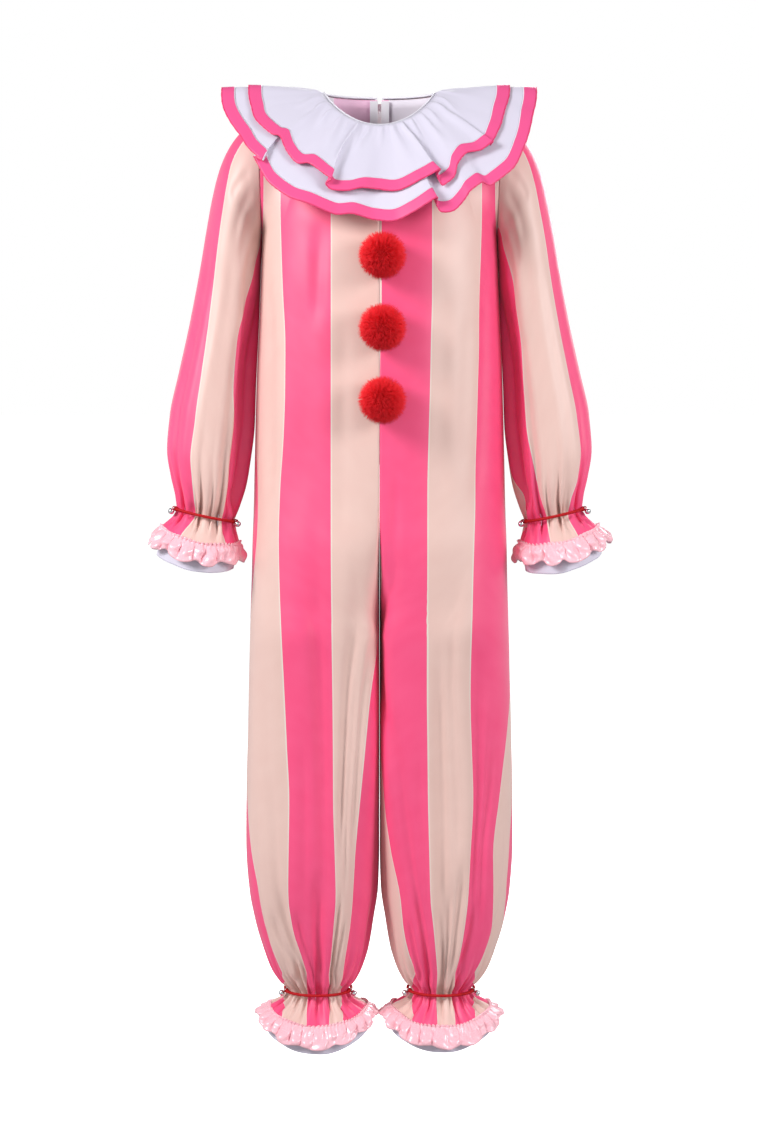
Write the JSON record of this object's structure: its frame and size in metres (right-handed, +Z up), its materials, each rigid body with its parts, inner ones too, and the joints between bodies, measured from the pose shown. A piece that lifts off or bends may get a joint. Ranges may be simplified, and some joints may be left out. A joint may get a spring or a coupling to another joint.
{
  "type": "clown jumpsuit",
  "caption": "Loose clown jumpsuit in wide stripes with a tiered ruffled collar, fur pompoms, and ruffled cuffs and ankles tied with cord and bells.",
  "frame": {"origin": "centre of the neck opening, level with the top of the neckline's binding, where the garment hangs from the wearer's shoulders", "axes": "+Z up, from the ankles to the neck; the garment faces -Y; the wearer's left is at +X"},
  "size_m": [0.6594, 0.3497, 1.3847],
  "materials": {
    "striped_cloth": "soft matt woven cloth in wide pink and cream stripes",
    "white_cloth": "soft matt white cloth",
    "pink_satin": "pale pink satin ribbon",
    "pink_ribbon": "bright pink ribbon",
    "red_fur": "deep red long pile",
    "red_cord": "red braided cord",
    "bell_metal": "bright plated metal",
    "zip_tape": "white woven tape",
    "zip_plastic": "white plastic coil and painted slider"
  },
  "bodies": {
    "garment": {"front_left": "striped_cloth", "back_left": "striped_cloth", "sleeve_left": "striped_cloth", "cuff_left_hem_band": "white_cloth", "cuff_left_ruffle": "pink_satin", "cuff_left_tie": "red_cord", "ankle_left_hem_band": "white_cloth", "ankle_left_ruffle": "pink_satin", "ankle_left_tie": "red_cord", "front_right": "striped_cloth", "back_right": "striped_cloth", "sleeve_right": "striped_cloth", "cuff_right_hem_band": "white_cloth", "cuff_right_ruffle": "pink_satin", "cuff_right_tie": "red_cord", "ankle_right_hem_band": "white_cloth", "ankle_right_ruffle": "pink_satin", "ankle_right_tie": "red_cord", "collar_lower": "white_cloth", "collar_lower_trim": "pink_ribbon", "collar_upper": "white_cloth", "collar_upper_trim": "pink_ribbon", "neck_binding": "white_cloth", "pompom_1": "red_fur", "pompom_2": "red_fur", "pompom_3": "red_fur", "zip_tape_left": "zip_tape", "zip_tape_right": "zip_tape", "zip_chain": "zip_plastic", "zip_slider": "zip_plastic"},
    "bell_cuff_left_outer_swinging": {"bell_cuff_left_outer": "bell_metal"},
    "bell_cuff_left_inner_swinging": {"bell_cuff_left_inner": "bell_metal"},
    "bell_ankle_left_outer_swinging": {"bell_ankle_left_outer": "bell_metal"},
    "bell_ankle_left_inner_swinging": {"bell_ankle_left_inner": "bell_metal"},
    "bell_cuff_right_outer_swinging": {"bell_cuff_right_outer": "bell_metal"},
    "bell_cuff_right_inner_swinging": {"bell_cuff_right_inner": "bell_metal"},
    "bell_ankle_right_outer_swinging": {"bell_ankle_right_outer": "bell_metal"},
    "bell_ankle_right_inner_swinging": {"bell_ankle_right_inner": "bell_metal"},
    "pull_tab": {"zip_pull_tab": "zip_plastic"}
  },
  "joints": [
    {"name": "bell_cuff_left_outer_swing", "type": "hinge", "parent": "garment", "child": "bell_cuff_left_outer_swinging", "pos_m": [0.29193, -0.03426, -0.59811], "axis": [-0.4266, -0.8966, -0.1189], "range_deg": [0, 60]},
    {"name": "bell_cuff_left_inner_swing", "type": "hinge", "parent": "garment", "child": "bell_cuff_left_inner_swinging", "pos_m": [0.20907, -0.03426, -0.61623], "axis": [-0.4282, 0.8999, -0.0822], "range_deg": [0, 60]},
    {"name": "bell_ankle_left_outer_swing", "type": "hinge", "parent": "garment", "child": "bell_ankle_left_outer_swinging", "pos_m": [0.13614, -0.01575, -1.30312], "axis": [-0.2903, -0.9568, -0.0135], "range_deg": [0, 60]},
    {"name": "bell_ankle_left_inner_swing", "type": "hinge", "parent": "garment", "child": "bell_ankle_left_inner_swinging", "pos_m": [0.04386, -0.01575, -1.30312], "axis": [-0.2903, 0.9568, 0.0135], "range_deg": [0, 60]},
    {"name": "bell_cuff_right_outer_swing", "type": "hinge", "parent": "garment", "child": "bell_cuff_right_outer_swinging", "pos_m": [-0.29193, -0.03426, -0.59811], "axis": [-0.4266, 0.8966, 0.1189], "range_deg": [0, 60]},
    {"name": "bell_cuff_right_inner_swing", "type": "hinge", "parent": "garment", "child": "bell_cuff_right_inner_swinging", "pos_m": [-0.20907, -0.03426, -0.61623], "axis": [-0.4282, -0.8999, 0.0822], "range_deg": [0, 60]},
    {"name": "bell_ankle_right_outer_swing", "type": "hinge", "parent": "garment", "child": "bell_ankle_right_outer_swinging", "pos_m": [-0.13614, -0.01575, -1.30312], "axis": [-0.2903, 0.9568, 0.0135], "range_deg": [0, 60]},
    {"name": "bell_ankle_right_inner_swing", "type": "hinge", "parent": "garment", "child": "bell_ankle_right_inner_swinging", "pos_m": [-0.04386, -0.01575, -1.30312], "axis": [-0.2903, -0.9568, -0.0135], "range_deg": [0, 60]},
    {"name": "pull_tab_swing", "type": "hinge", "parent": "garment", "child": "pull_tab", "pos_m": [0, 0.07379, -0.01415], "axis": [1, 0, 0], "range_deg": [0, 155]}
  ]
}
